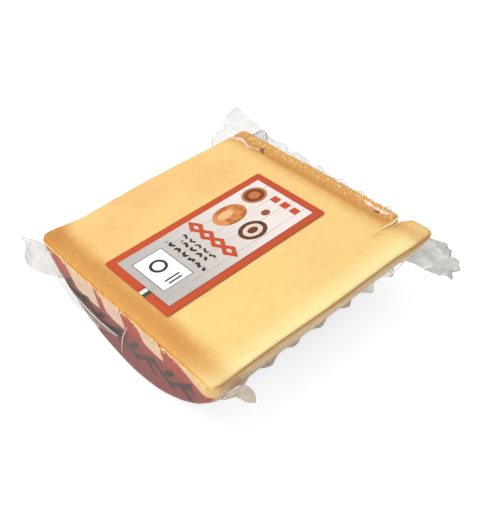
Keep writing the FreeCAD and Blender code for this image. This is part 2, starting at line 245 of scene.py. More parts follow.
def section(drop, shrink, offset, counts):
    """The outline across the segment as (y, z) points: the cut face from +Y to -Y, then the heel back.

    The cut face lies drop lower and the heel shrink further in than the plain piece's.
    """
    across, round_steps, heel_steps = counts
    top = CUT + offset - drop
    radius = WHEEL_RADIUS + offset - shrink
    corner = EDGE_ROUND + offset
    middle_z = top - corner
    middle_y = math.sqrt((radius - corner) ** 2 - (AXIS - middle_z) ** 2)
    turn = math.atan2(middle_y, AXIS - middle_z)

    face = [(y, top) for y in np.linspace(middle_y, -middle_y, across)]
    bends = np.linspace(0.0, math.pi - turn, round_steps + 1)[1:]
    left = [(middle_y + corner * math.sin(bend), middle_z + corner * math.cos(bend)) for bend in bends]
    right = [(-y, z) for y, z in left]
    angles = np.linspace(-turn, turn, heel_steps + 1)[1:]
    heel = [(radius * math.sin(angle), AXIS - radius * math.cos(angle)) for angle in angles]
    outline = np.array(face + right + heel + left[-2::-1])
    outline[:, 1] = np.maximum(outline[:, 1], REST - offset)
    return outline


# depths behind a flat end at which its rounding needs a section
END_STEPS = [0.0, 0.08, 0.3, 0.65, 1.1, 1.6, 2.1, 2.9, 3.9, RIM_ROUND]
END_HEART = np.array([0.0, 27.0])  # the (y, z) that the loops on a flat end close in on


def rounding(radius, depth):
    """How far a rounded edge lies in at a depth behind the end."""
    return radius - math.sqrt(radius ** 2 - max(radius - depth, 0.0) ** 2)


def segment(offset, step, counts, rings):
    """Points and faces of the whole segment, grown outwards by offset, with closed flat ends.

    Step is the spacing along X. The counts are points across the cut face, steps round an edge and
    steps along the heel. Each end closes by that many rings.
    """
    half = HALF + offset
    inner = np.linspace(-half + RIM_ROUND, half - RIM_ROUND, round(2 * (half - RIM_ROUND) / step))
    places = [(-half + depth, depth) for depth in END_STEPS[:-1]]
    places += [(x, RIM_ROUND) for x in inner]
    places += [(half - depth, depth) for depth in END_STEPS[-2::-1]]

    loops = []
    for x, depth in places:
        outline = section(rounding(EDGE_ROUND, depth), rounding(RIM_ROUND, depth), offset, counts)
        loops.append(np.column_stack([np.full(len(outline), x), outline]))

    def shrunk(loop, share):
        """A loop drawn in towards the middle of its end."""
        return np.column_stack([loop[:, 0], END_HEART + (loop[:, 1:] - END_HEART) * share])

    shrinking = np.linspace(1.0, 0.02, rings + 1)[1:]
    near = [shrunk(loops[0], share) for share in shrinking[::-1]]
    far = [shrunk(loops[-1], share) for share in shrinking]
    loops = near + loops + far
    return np.concatenate(loops), tube_faces(len(loops), len(loops[0]))


def grid_faces(rows, columns, closed=False):
    """Faces of a grid of points, whose rows may close on themselves."""
    faces = []
    for row in range(rows - 1):
        low, high = row * columns, (row + 1) * columns
        for column in range(columns if closed else columns - 1):
            after = (column + 1) % columns
            faces.append((low + column, low + after, high + after, high + column))
    return faces


def tube_faces(loops, around):
    """Faces between closed loops of points, and one at each end."""
    ends = [tuple(range(around - 1, -1, -1)), tuple(range((loops - 1) * around, loops * around))]
    return grid_faces(loops, around, closed=True) + ends


def normals_of(points, faces):
    """A unit normal at each point, from the faces with four corners."""
    quads = np.array([face for face in faces if len(face) == 4])
    corners = points[quads]
    flat = np.cross(corners[:, 2] - corners[:, 0], corners[:, 3] - corners[:, 1])
    total = np.zeros_like(points)
    for corner in range(4):
        np.add.at(total, quads[:, corner], flat)
    return total / np.maximum(np.linalg.norm(total, axis=1, keepdims=True), 1e-9)


def grid_of(x, y, z):
    """A grid of points from three coordinates that spread over the same rows and columns."""
    return np.stack(np.broadcast_arrays(x, y, z), axis=-1)


def gather(grids):
    """Points and faces of several grids of points, as one mesh."""
    points, faces = [], []
    for grid in grids:
        first = sum(len(block) for block in points)
        points.append(grid.reshape(-1, 3))
        faces += [tuple(first + corner for corner in face) for face in grid_faces(*grid.shape[:2])]
    return np.concatenate(points), faces


def halfway(first, second, shift=(0.0, 0.0, 0.0)):
    """Points midway between two rows of points, moved by a shift."""
    return (np.array(first) + np.array(second)) / 2 + shift


def add_object(name, data):
    """An object in the scene that holds a mesh, a lamp or a camera."""
    made = bpy.data.objects.new(name, data)
    bpy.context.scene.collection.objects.link(made)
    return made


def add_piece(name, points, faces, material, slot):
    """A mesh piece from points in millimetres, riding on the part's one body."""
    mesh = bpy.data.meshes.new(name)
    mesh.from_pydata((np.asarray(points) * MM).tolist(), [], [tuple(map(int, face)) for face in faces])
    mesh.validate()
    mesh.shade_smooth()
    mesh.materials.append(material)
    piece = add_object(name, mesh)
    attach(piece, "root")
    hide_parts(NODE_OF_SLOT[slot])
    return piece


def set_values(piece, name, values):
    """Keeps a number at each of the mesh's points, for the material to read."""
    layer = piece.data.attributes.new(name, "FLOAT", "POINT")
    layer.data.foreach_set("value", np.asarray(values).astype(np.float32))


def apply_modifier(piece, kind, **settings):
    """Adds a modifier and applies it at once."""
    modifier = piece.modifiers.new(kind.title(), kind)
    for setting, value in settings.items():
        setattr(modifier, setting, value)
    with bpy.context.temp_override(object=piece, active_object=piece, selected_objects=[piece]):
        bpy.ops.object.modifier_apply(modifier=modifier.name)


def thicken(piece, gauge, offset=0.0):
    """Gives a sheet its thickness: to both sides of its face, or outwards with an offset of 1."""
    apply_modifier(piece, "SOLIDIFY", thickness=gauge * MM, offset=offset)


# ---------------------------------------------------------------- materials

def plug(tree, socket, value):
    """Links a wire to a socket, or sets a plain value on it."""
    if isinstance(value, Wire):
        tree.links.new(value.socket, socket)
    else:
        socket.default_value = value


def add_node(tree, kind, inputs=None, **settings):
    """A node by its short type name, with its settings and the values or wires on its inputs."""
    node = tree.nodes.new("ShaderNode" + kind)
    for setting, value in settings.items():
        setattr(node, setting, value)
    for socket, value in (inputs or {}).items():
        plug(tree, node.inputs[socket], value)
    return node


def add_wire(tree, kind, inputs=None, output=0, **settings):
    """The wire from one output of a new node."""
    return Wire(tree, add_node(tree, kind, inputs, **settings).outputs[output])


class Wire:
    """A value in a node tree. Sums with it add Math nodes."""

    def __init__(self, tree, socket):
        self.tree = tree
        self.socket = socket

    def math(self, operation, *others):
        """This number, and any others, through a Math node."""
        return add_wire(self.tree, "Math", dict(enumerate((self,) + others)), operation=operation)

    __add__ = __radd__ = partialmethod(math, "ADD")
    __mul__ = __rmul__ = partialmethod(math, "MULTIPLY")
    __sub__ = partialmethod(math, "SUBTRACT")
    __truediv__ = partialmethod(math, "DIVIDE")
    size = partialmethod(math, "ABSOLUTE")  # the number without its sign
    below = partialmethod(math, "LESS_THAN")  # 1 where the number is below an edge
    above = partialmethod(math, "GREATER_THAN")  # 1 where it is above an edge
    larger = partialmethod(math, "MAXIMUM")  # the larger of two numbers

    def __rsub__(self, other):
        return (self * -1.0) + other

    def step(self, low, high):
        """0 at low, 1 at high and a smooth step between them."""
        inputs = {"Value": self, "From Min": low, "From Max": high}
        return add_wire(self.tree, "MapRange", inputs, "Result", interpolation_type="SMOOTHSTEP")


def srgb(red, green, blue):
    """A colour given as 0-255 screen values, as the linear colour that Blender takes."""
    def linear(level):
        level = level / 255.0
        return level / 12.92 if level <= 0.04045 else ((level + 0.055) / 1.055) ** 2.4
    return (linear(red), linear(green), linear(blue), 1.0)


class Material:
    """A material's node tree, with short names for what the recipes below use."""

    def __init__(self, name):
        self.material = bpy.data.materials.new(name)
        self.material.use_nodes = True
        self.tree = self.material.node_tree
        self.tree.nodes.clear()
        self.place = self.node("VectorMath", {0: self.node("TexCoord", output="Object"), "Scale": 1.0 / MM},
                               operation="SCALE")
        split = add_node(self.tree, "SeparateXYZ", {0: self.place})
        self.x, self.y, self.z = (Wire(self.tree, socket) for socket in split.outputs)

    def node(self, kind, inputs=None, output=0, **settings):
        """The wire from one output of a new node in this material."""
        return add_wire(self.tree, kind, inputs, output, **settings)

    def mix(self, share, first, second):
        """Between two colours, by a wire."""
        return self.node("Mix", {"Factor": share, 6: first, 7: second}, 2, data_type="RGBA")

    def noise(self, size, detail=2.0, stretch=(1.0, 1.0, 1.0)):
        """Noise from 0 to 1 whose lumps are about size millimetres across."""
        scale = tuple(1.0 / (size * factor) for factor in stretch)
        mapped = self.node("Mapping", {"Vector": self.place, "Scale": scale})
        return self.node("TexNoise", {"Scale": 1.0, "Detail": detail, "Vector": mapped})

    def specks(self, pitch, radius, share):
        """1 inside small round specks: a share of the cells of the given pitch holds one."""
        cells = add_node(self.tree, "TexVoronoi", {"Vector": self.place, "Scale": 1.0 / pitch})
        colour, distance = (Wire(self.tree, cells.outputs[name]) for name in ("Color", "Distance"))
        chosen = self.node("SeparateColor", {0: colour}).below(share)
        return chosen * distance.step(radius / pitch, 0.5 * radius / pitch)

    def attribute(self, name):
        """A number kept at the mesh's points."""
        return self.node("Attribute", output="Fac", attribute_name=name)

    def bump(self, height, depth):
        """A bump from a wire, depth in millimetres."""
        return self.node("Bump", {"Distance": depth * MM, "Height": height})

    def principled(self, colour, roughness, normal=None, **settings):
        """The Principled shader, with its plain settings given by socket name."""
        inputs = {"Base Color": colour, "Roughness": roughness}
        if normal:
            inputs["Normal"] = normal
        inputs.update((socket.replace("_", " "), value) for socket, value in settings.items())
        return self.node("BsdfPrincipled", inputs)

    def blend(self, share, first, second):
        """Between two shaders, by a wire or a number."""
        return self.node("MixShader", {0: share, 1: first, 2: second})

    def finish(self, surface):
        """The finished material, with a shader on its output."""
        add_node(self.tree, "OutputMaterial", {"Surface": surface})
        return self.material


class Paint:
    """A colour built up in layers: each mask lays another tone over what is there."""

    def __init__(self, look, base):
        self.look = look
        self.colour = base

    def over(self, mask, tone):
        """Lays a tone over the colour, as strongly as the mask says."""
        self.colour = self.look.mix(mask, self.colour, tone)


# colours as they look on the piece
PASTE = srgb(255, 211, 136)
PASTE_PALE = srgb(252, 219, 140)
PASTE_WARM = srgb(248, 200, 130)
RIND_BAND = srgb(224, 161, 82)
# darker paste under the rind, also the painted shade in the trough by each end
RIND_DEEP_AND_TROUGH_SHADE = srgb(208, 140, 64)
# pale crumbs and crystals of the paste, also the painted highlights on the -Y edge and on small pits
PALE_PASTE_AND_HIGHLIGHT = srgb(255, 243, 180)
SIDE_TAN = srgb(206, 156, 88)
SPECK_BROWN = srgb(150, 98, 48)
PRINT_MAUVE = srgb(130, 62, 54)
PRINT_BRICK = srgb(178, 72, 54)
PRINT_CREAM = srgb(240, 205, 170)
PRINT_ROSE = srgb(232, 188, 172)
PRINT_DARK = srgb(48, 38, 36)
HEEL_BEIGE = srgb(216, 188, 160)
HEEL_PALE = srgb(252, 218, 164)
HEEL_DARK = srgb(176, 146, 120)
FILM_MILK = srgb(232, 232, 228)
FILM_TAN = srgb(228, 208, 186)
# the next two are painted highlights on the film's creases: white, and warm over the cheese
FILM_HIGHLIGHT = srgb(255, 253, 247)
FILM_WARM_HIGHLIGHT = srgb(255, 232, 176)
FILM_RIM = srgb(168, 162, 152)
LABEL_RED = srgb(203, 80, 40)
LABEL_PANEL = srgb(246, 234, 226)
LABEL_PANEL_GREY = srgb(192, 187, 180)
BADGE_WHITE = srgb(250, 250, 250)


def cheese_colour(look):
    """The paste's colour by place: warmer and darker under the rind with painted shade in its trough, pale
    towards the -Y edge with a painted highlight along it.
    """
    past_y = look.y * -1.0
    drift = look.noise(38.0, 1.0)
    paint = Paint(look, look.mix(drift.step(0.35, 0.7), PASTE, PASTE_WARM))
    paint.over((look.y + look.x * 0.35).step(25.0, -75.0) * 0.75, PASTE_PALE)
    # painted highlight along the -Y edge
    paint.over(past_y.step(SIDE - 17.0, SIDE - 4.0) * 0.75, PALE_PASTE_AND_HIGHLIGHT)

    wander = (look.noise(11.0, 3.0) - 0.5) * 3.0
    far = look.x.above(0.0)
    inward = look.x.size() + wander
    at_near_corner = past_y.step(SIDE - 34.0, SIDE - 2.0) * look.x.below(0.0)
    at_flap = past_y.step(SIDE - 22.0, SIDE - 14.0) * far
    rind = 1.0 - at_near_corner * 0.75 - at_flap * 0.5
    paint.over(inward.step(HALF - 18.0, HALF - 7.0) * rind * (1.0 - far * 0.1), RIND_BAND)
    # a darker line in the trough by each end: partly the drier paste under the rind, partly painted shade
    trough = (inward - far * 2.5 - (HALF - 8.5)).size().step(6.0, 0.5)
    paint.over(trough * rind * (0.4 + far * 0.25), RIND_DEEP_AND_TROUGH_SHADE)
    long_side = look.x.size().step(HALF - 1.0, HALF - 3.0)
    paint.over((CUT - look.z).step(1.0, 2.4) * long_side * 0.8, SIDE_TAN)
    corner = (look.x * -1.0 + look.y).step(HALF + SIDE - 26.0, HALF + SIDE - 6.0)
    paint.over(corner * 0.8, RIND_DEEP_AND_TROUGH_SHADE)

    mottle = look.noise(3.2, 4.0)
    paint.over(mottle.step(0.5, 0.75) * 0.16, PASTE_PALE)
    paint.over(mottle.step(0.5, 0.28) * 0.13, RIND_BAND)
    # pale specks: partly crystals of the paste, partly painted glints of small pits under the film
    paint.over(look.specks(8.0, 0.5, 0.4) * 0.75, PALE_PASTE_AND_HIGHLIGHT)
    paint.over(look.specks(31.0, 0.5, 0.3) * 0.6, SPECK_BROWN)
    return paint.colour


def make_cheese_material():
    """The cheese: waxy on the cut face, crumbly and paler where it is torn."""
    look = Material("cheese_paste")
    crumbly = look.attribute("crumbly")
    grain = look.noise(1.1, 3.0) * 0.3 + look.noise(0.45, 2.0) * crumbly
    colour = look.mix(crumbly * look.noise(1.3, 3.0).step(0.54, 0.68) * 0.6, cheese_colour(look), PALE_PASTE_AND_HIGHLIGHT)
    return look.finish(look.principled(
        colour, 0.5 - crumbly * 0.1, look.bump(grain, 0.35), Specular_IOR_Level=0.35,
        Subsurface_Weight=0.12, Subsurface_Scale=0.003, Subsurface_Radius=(1.0, 0.45, 0.15)))


def ellipse(u, v, middle_u, middle_v, half_u, half_v):
    """1 inside an ellipse."""
    a = (u - middle_u) / half_u
    b = (v - middle_v) / half_v
    return (a * a + b * b).below(1.0)


def box_mask(u, v, middle_u, middle_v, half_u, half_v):
    """1 inside an upright rectangle."""
    return (u - middle_u).size().below(half_u) * (v - middle_v).size().below(half_v)


# cream fields under the cut edge: left end, right end and depth, and how far the left side leans
CREAM_FIELDS = ((49.0, 23.0, 16.0, 9.0), (18.5, 1.0, 14.5, 5.0), (-12.0, -29.0, 12.0, 5.0),
                (-33.5, -65.0, 9.5, 24.0))
VINE_PITCH = 27.0  # length of one wave of the vine
VINE_DROP = 24.0  # how far below the cut face the vine runs at the middle
VINE_REACH = 52.0  # half the vine's length


def cream_fields(look, drop):
    """1 inside the print's slanted cream fields."""
    fields = 0.0
    for left, right, depth, lean in CREAM_FIELDS:
        down = (drop / depth).larger(0.0)
        inside_left = (look.y - left + down * lean).below(0.0)
        inside_right = (look.y - right + drop * 0.2).above(0.0)
        bottom = (look.y - (left + right) / 2 + 5.0) / (left - right)
        fields = inside_left * inside_right * (drop + bottom * bottom * 6.0).below(depth) + fields
    return fields.math("MINIMUM", 1.0)


def vine(look, drop):
    """1 inside a wavy stem with a leaf above and below it in every half wave."""
    turn = look.y * (2 * math.pi / VINE_PITCH)
    below_vine = drop - VINE_DROP + (look.y / 45.0) * (look.y / 45.0) * 5.5
    stem = (below_vine + turn.math("SINE") * 3.0).size().below(1.5)
    leaf_phase = (((look.y / VINE_PITCH) * 2.0).math("FRACT") - 0.5) * (VINE_PITCH / 2)
    leaf = ellipse(leaf_phase, below_vine - leaf_phase * 0.7, 0.0, -3.4, 4.2, 2.2)
    lower_leaf = ellipse(leaf_phase, below_vine + leaf_phase * 0.7, 1.0, 4.2, 3.8, 2.0)
    return stem.larger(leaf).larger(lower_leaf)


def make_wrap_material():
    """The print: cream fields under the cut edge, brick between them, mauve below with a vine."""
    look = Material("printed_wrap")
    drop = CUT - look.z
    ends = look.x.size().above(HALF - 2.0)
    paint = Paint(look, look.mix(drop.step(8.0, 19.0), PRINT_BRICK, PRINT_MAUVE))
    paint.over(look.noise(9.0, 3.0).step(0.4, 0.7) * 0.25, PRINT_BRICK)
    blotch = look.noise(5.0, 3.0).step(0.35, 0.7)
    paint.over(cream_fields(look, drop), look.mix(blotch, PRINT_CREAM, PRINT_ROSE))
    paint.over(vine(look, drop) * ends * look.y.size().below(VINE_REACH) * 0.9, PRINT_DARK)

    heel = look.x.size().step(HALF - 0.6, HALF - 3.0)
    beige = Paint(look, HEEL_BEIGE)
    beige.over(look.noise(14.0, 3.0, (2.0, 1.0, 1.0)).step(0.35, 0.7), HEEL_DARK)
    band = (look.x.size() - (HALF - 14.0)).size().below(2.2)
    beige.over(band * 0.3, PRINT_MAUVE)
    beige.over(drop.step(15.0, 5.0) * 0.75, HEEL_PALE)
    paint.over(heel, beige.colour)

    ragged_corner = (look.y * -1.0).step(SIDE - 24.0, SIDE - 5.0) * 8.0
    fleck = (drop + (look.noise(2.0, 3.0) - 0.5) * 7.0 - ragged_corner * look.x.below(0.0)).below(1.6) * ends
    paint.over(fleck, srgb(250, 208, 128))
    # painted shadow: a thin brown line on the heel just under the cut face's edge
    paint.over(heel * drop.step(2.6, 1.2) * 0.8, srgb(196, 140, 72))
    paint.over(look.specks(2.6, 0.55, 0.3) * drop.step(9.0, 3.0) * 0.8, srgb(225, 160, 96))
    bump = look.bump(look.noise(2.2, 3.0), 0.12)
    return look.finish(look.principled(paint.colour, 0.5, bump, Specular_IOR_Level=0.15))


def make_film_material(name, tint, deep_tint, milk_colour, haze, gloss, roughness, only_near_end=False,
                       highlight_milk=0.8):
    """Clear film: light passes with a tint, gloss grows at grazing angles, and haze is milky.

    The mesh's "line" marks the creases' painted highlights, highlight_milk is how much of each is milky
    white rather than clear, "shade" deepens the tint, facet by facet as painted shade, and "rim" marks the
    free edges.
    With only_near_end the haze stays away from the far end.
    """
    look = Material(name)
    gloss_share = look.node("LayerWeight", {"Blend": 0.5}, "Facing").math("POWER", 5.0) * 0.06 + gloss
    line = look.attribute("line")
    through = look.mix(look.attribute("shade"), tint, deep_tint)
    hazy = haze
    if only_near_end:
        near = look.x.step(48.0, 20.0)
        through = look.mix(near, (0.93, 0.93, 0.92, 1.0), through)
        hazy = near * haze
    # painted highlights on the creases: partly milky white
    milk_and_highlight_share = line * (highlight_milk - haze) + hazy
    through = look.mix(look.attribute("rim") * 0.55, through, FILM_RIM)
    # the rest of each painted highlight lets the white floor through untinted
    through = look.mix(line * (1.0 - highlight_milk), through, (1.0, 1.0, 1.0, 1.0))
    clear = look.node("BsdfTransparent", {"Color": through})
    mirror = look.principled((1.0, 1.0, 1.0, 1.0), roughness, Metallic=1.0)
    milk_and_highlight = look.principled(look.mix(line, milk_colour, FILM_HIGHLIGHT), 0.3)
    return look.finish(look.blend(milk_and_highlight_share, look.blend(gloss_share, clear, mirror), milk_and_highlight))


def make_label_material():
    """An orange-red border round a pale plank panel, with plain shapes for a badge and pictures."""
    look = Material("label_print")
    u = look.x - float(LABEL_MIDDLE[0])
    v = look.y - float(LABEL_MIDDLE[1])
    inner_u, inner_v = (LABEL_SIZE[:2] / 2 - LABEL_BORDER).tolist()
    badge_u = -33.5

    planks = Paint(look, look.mix(u.step(35.0, -45.0), LABEL_PANEL, LABEL_PANEL_GREY))
    planks.over(look.noise(3.0, 4.0, (9.0, 0.5, 1.0)).step(0.5, 0.72) * 0.3, srgb(198, 188, 178))
    planks.over(((v + 25.0) / 9.4).math("FRACT").below(0.045) * 0.55, srgb(166, 154, 144))
    panel = planks.colour

    paint = Paint(look, panel)
    paint.over(box_mask(u, v, badge_u, 1.5, 9.0, 12.8), srgb(60, 56, 54))
    paint.over(box_mask(u, v, badge_u, 1.5, 8.6, 12.4), BADGE_WHITE)
    paint.over(ellipse(u, v, badge_u, 4.5, 4.6, 4.6), srgb(52, 48, 46))
    paint.over(ellipse(u, v, badge_u, 4.5, 3.1, 3.1), BADGE_WHITE)
    for place in (-6.2, -8.6):
        paint.over(box_mask(u, v, badge_u, place, 5.6 + place * 0.2, 0.5), srgb(70, 64, 62))

    dash = ((v + 21.0) / 5.2).math("FRACT")
    for place, reach, thick in ((-19.5, 15.0, 1.0), (-14.4, 10.0, 0.9), (-10.6, 13.0, 0.7)):
        wobble = ((v * 1.7 + place).math("SINE") * 0.5 + u) - place
        row = wobble.size().below(thick) * dash.below(0.76) * (v - 1.0).size().below(reach)
        paint.over(row, srgb(58, 50, 48))
    for place in (-12.6, -4.2, 4.2, 12.6):
        from_middle = (u + 2.5).size() + (v - 1.0 - place).size() * 0.6
        paint.over(from_middle.below(4.0), LABEL_RED)
        paint.over(from_middle.below(1.3), panel)
    for place in (-13.0, -6.0, 1.0):
        paint.over(box_mask(u, v, 41.0, place, 2.2, 2.4), LABEL_RED)

    amber = look.mix(look.noise(5.0, 2.0).step(0.4, 0.65), srgb(190, 104, 48), srgb(228, 152, 82))
    ring = look.mix(look.noise(1.6, 2.0).step(0.4, 0.6), srgb(84, 40, 30), srgb(122, 64, 44))
    discs = (
        (16.0, 9.0, 10.0, 7.4, amber), (14.5, 10.5, 5.0, 2.8, srgb(240, 190, 132)),
        (16.0, -8.5, 8.0, 6.6, ring), (16.0, -8.5, 5.6, 4.4, srgb(232, 214, 196)),
        (16.0, -8.5, 3.0, 2.2, ring), (36.0, 12.0, 7.2, 6.4, srgb(196, 122, 66)),
        (36.0, 12.0, 5.8, 5.1, srgb(128, 62, 36)), (36.0, 12.0, 3.4, 2.9, srgb(206, 118, 60)),
        (30.0, -3.0, 2.6, 2.2, srgb(150, 84, 52)),
    )
    for middle_u, middle_v, reach_u, reach_v, tone in discs:
        paint.over(ellipse(u, v, middle_u, middle_v, reach_u, reach_v), tone)

    inside = box_mask(u, v, 0.0, 0.0, inner_u, inner_v)
    red = look.mix(look.noise(6.0, 3.0).step(0.35, 0.7) * 0.35, LABEL_RED, srgb(198, 72, 40))
    whole = Paint(look, red)
    whole.over(inside, paint.colour)
    stripes = Paint(look, look.mix((v + 5.6).above(0.0), srgb(46, 84, 52), srgb(240, 236, 228)))
    stripes.over((v + 3.2).above(0.0), srgb(186, 60, 44))
    ribbon = (v + 4.5).size().below(3.4) * u.below(0.0)
    whole.over(ribbon * (1.0 - inside), stripes.colour)
    shadow = box_mask(u, v, 0.0, 0.0, inner_u + 0.5, inner_v + 0.5) * (1.0 - inside)
    whole.over(shadow * v.below(0.0) * 0.7, srgb(120, 46, 34))
    bump = look.bump(look.noise(1.2, 2.0), 0.02)
    return look.finish(look.principled(whole.colour, 0.5, bump, Specular_IOR_Level=0.25,
                                       Coat_Weight=0.25, Coat_Roughness=0.05))


# ---------------------------------------------------------------- cheese, wrap and label

def make_cheese(material):
    """The cheese: crumbly along the far rind edge, with a split in it."""
    points, faces = segment(0.0, 0.8, (175, 5, 64), 10)
    crumbly = smooth(points[:, 0], HALF - 8.0, HALF - 4.0) * smooth(points[:, 2], CUT - 3.0, CUT - 1.0)
    points = settle(points)
    rough = 0.05 * noise(points, 2.2, 21) + crumbly * 0.2 * layered(points, 2.0, 22)
    points = points + normals_of(points, faces) * rough[:, None]
    piece = add_piece("cheese", points, faces, material, "cheese")
    set_values(piece, "crumbly", crumbly)
    cut_notch(piece)


def cut_notch(piece):
    """Cuts the split out of the far edge with crisp walls."""
    out = HALF + 8.0
    deep = CUT - NOTCH_DEPTH
    high = CUT + 8.0
    corners = [(NOTCH_TIP, NOTCH_PLACE, high), (HALF - 4.0, NOTCH_PLACE - 0.8, deep)]
    corners += [(out, NOTCH_PLACE + side, high) for side in (-10.5, 6.0)]
    corners += [(out, NOTCH_PLACE + side, deep - 2.0) for side in (-5.6, 2.6)]
    mesh = bpy.data.meshes.new("notch_tool")
    tool = add_object("notch_tool", mesh)
    solid = bmesh.new()
    for corner in np.array(corners) * MM:
        solid.verts.new(corner)
    bmesh.ops.convex_hull(solid, input=solid.verts)
    bmesh.ops.recalc_face_normals(solid, faces=solid.faces)
    solid.to_mesh(mesh)
    solid.free()
    apply_modifier(piece, "BOOLEAN", operation="DIFFERENCE", solver="MANIFOLD", object=tool)
    bpy.data.objects.remove(tool)
    bpy.data.meshes.remove(mesh)
    piece.data.set_sharp_from_angle(angle=math.radians(38))


def make_wrap(material):
    """The printed wrap on both ends and the heel, trimmed unevenly just under the cut face."""
    points, faces = segment(WRAP_OUT, 1.6, (90, 5, 90), 22)
    solid = bmesh.new()
    vertices = [solid.verts.new(point) for point in points]
    for face in faces:
        solid.faces.new([vertices[corner] for corner in face])
    trim = CUT - 0.5
    bmesh.ops.bisect_plane(solid, geom=solid.verts[:] + solid.edges[:] + solid.faces[:],
                           plane_co=(0, 0, trim), plane_no=(0, 0, 1), clear_outer=True)
    kept, kept_faces = read_solid(solid)
    rim = smooth(kept[:, 2], trim - 1.2, trim - 0.05)
    at_end = smooth(np.abs(kept[:, 0]), HALF - 3.0, HALF - 1.0)
    kept[:, 2] += rim * (at_end * (layered(kept, 2.4, 31) - 0.9) - 0.3)
    settled = settle(kept)
    settled += normals_of(settled, kept_faces) * (0.10 * folds(settled, 9.0, 33))[:, None]
    piece = add_piece("printed_wrap", settled, kept_faces, material, "printed_wrap")
    thicken(piece, WRAP_GAUGE, 1.0)
    cut_notch(piece)


def read_solid(solid):
    """Points and faces of an edited mesh, which is then freed."""
    solid.verts.ensure_lookup_table()
    solid.verts.index_update()
    points = np.array([vertex.co for vertex in solid.verts])
    faces = [tuple(vertex.index for vertex in face.verts) for face in solid.faces]
    solid.free()
    return points, faces


def make_scraps(material):
    """Folded bits of the wrap that lie on the cut face near the far edge, under the film.

    Each is a path of (x, y, half width). The last two are brick red.
    """
    long_scrap = [(58.6, 68.0, 0.5), (60.6, 63.5, 1.9), (60.9, 58.7, 1.5), (59.2, 53.4, 0.8),
                  (60.0, 50.2, 1.0), (61.4, 47.0, 1.3), (62.2, 42.6, 0.3)]
    short_scrap = [(65.4, -28.4, 0.3), (65.3, -32.5, 0.8), (64.8, -37.0, 0.7), (64.8, -41.0, 1.2),
                   (65.4, -44.6, 0.3)]
    diamond = [(61.6, 47.6, 0.3), (62.4, 46.0, 1.5), (61.6, 43.8, 1.6), (60.4, 42.0, 0.3)]
    spot = [(63.6, -36.4, 0.1), (63.9, -38.2, 0.6), (64.2, -40.0, 0.1)]
    steps, across = 60, 9
    shares = np.linspace(-1.0, 1.0, across)
    grids, brick = [], []
    for number, path in enumerate((long_scrap, short_scrap, diamond, spot)):
        line = pull(path, steps)
        is_brick = path in (diamond, spot)
        ragged = 1.0 + 0.55 * layered(np.column_stack([line[:, :2], np.zeros(steps)]), 2.2, 91 + number)
        half_width = np.maximum(line[:, 2], 0.05) * ragged
        height = CUT + SCRAP_LIFT + 0.1 * (1.0 - shares ** 2) + (0.05 if is_brick else 0.0)
        grids.append(grid_of(line[:, :1] + half_width[:, None] * shares, line[:, 1:2], height))
        brick.append(np.full(steps * across, float(is_brick)))
    points, faces = gather(grids)
    piece = add_piece("wrap_scraps", settle(points), faces, material, "printed_wrap")
    set_values(piece, "brick", np.concatenate(brick))
    thicken(piece, SCRAP_GAUGE)


def make_scrap_material():
    """The back of the wrap: pinkish white, with a few brick-red bits."""
    look = Material("wrap_scraps")
    patchy = look.noise(2.4, 3.0)
    paint = Paint(look, look.mix(patchy.step(0.45, 0.62), srgb(252, 222, 204), srgb(240, 186, 146)))
    paint.over(look.specks(1.9, 0.5, 0.3) * 0.8, srgb(252, 244, 232))
    paint.over(look.attribute("brick") * 0.95, srgb(146, 60, 36))
    return look.finish(look.principled(paint.colour, 0.4, look.bump(patchy, 0.08)))


NEAR_CRUMBS = 420  # crumbs on the near end, just under the cut face
FAR_CRUMBS = 130  # crumbs on the cut face by the far edge
CRUMB_HALF_THICKNESS = 0.17


def make_crumbs(material):
    """Small crumbs of cheese caught under the film along the two rind edges."""
    draw = random.Random(97)
    seed_ball = bmesh.new()
    bmesh.ops.create_icosphere(seed_ball, subdivisions=2, radius=1.0)
    ball, ball_faces = read_solid(seed_ball)
    blocks, faces = [], []

    def drop_crumb(place, flat_axis, size):
        """Adds one lumpy crumb, pressed flat along an axis."""
        turn = Quaternion(Vector((draw.gauss(0, 1), draw.gauss(0, 1), draw.gauss(0, 1))).normalized(),
                          draw.uniform(0, math.pi))
        lumpy = ball @ np.array(turn.to_matrix())
        lumpy = lumpy * (1.0 + 0.35 * noise(lumpy + 9.0 * len(blocks), 0.8, 98))[:, None]
        shape = np.array([size * draw.uniform(0.7, 1.3) for axis in range(3)])
        shape[flat_axis] = CRUMB_HALF_THICKNESS
        faces.extend(tuple(len(blocks) * len(ball) + corner for corner in face) for face in ball_faces)
        blocks.append(settle(np.array(place) + lumpy * shape))

    for number in range(NEAR_CRUMBS):
        y = draw.uniform(-SIDE + 5.0, SIDE - 5.0)
        thick = 0.5 + 0.5 * float(noise(np.array([y, 0.0, 0.0]), 6.0, 99))
        drop = abs(draw.gauss(0.0, 0.3 + 2.2 * thick)) + 0.9
        drop_crumb((-HALF - NEAR_CRUMB_OUT, y, CUT - drop), 0, draw.uniform(0.2, 0.5 + 0.6 * thick))
    for number in range(FAR_CRUMBS):
        y = draw.uniform(-SIDE + 22.0, SIDE - 2.0)
        drop_crumb((HALF - draw.uniform(0.3, 4.5), y, CUT + FAR_CRUMB_LIFT), 2, draw.uniform(0.12, 0.36))
    add_piece("edge_crumbs", np.concatenate(blocks), faces, material, "cheese")


def make_crumb_material():
    """Pale yellow crumbs, paler still by the far edge."""
    look = Material("crumbs")
    tone = look.noise(2.0, 2.0)
    paint = Paint(look, look.mix(tone.step(0.4, 0.62), srgb(255, 224, 140), srgb(246, 190, 100)))
    paint.over(look.x.above(0.0) * tone.step(0.3, 0.5) * 0.85, srgb(255, 238, 190))
    return look.finish(look.principled(paint.colour, 0.35, look.bump(look.noise(0.6, 2.0), 0.1)))


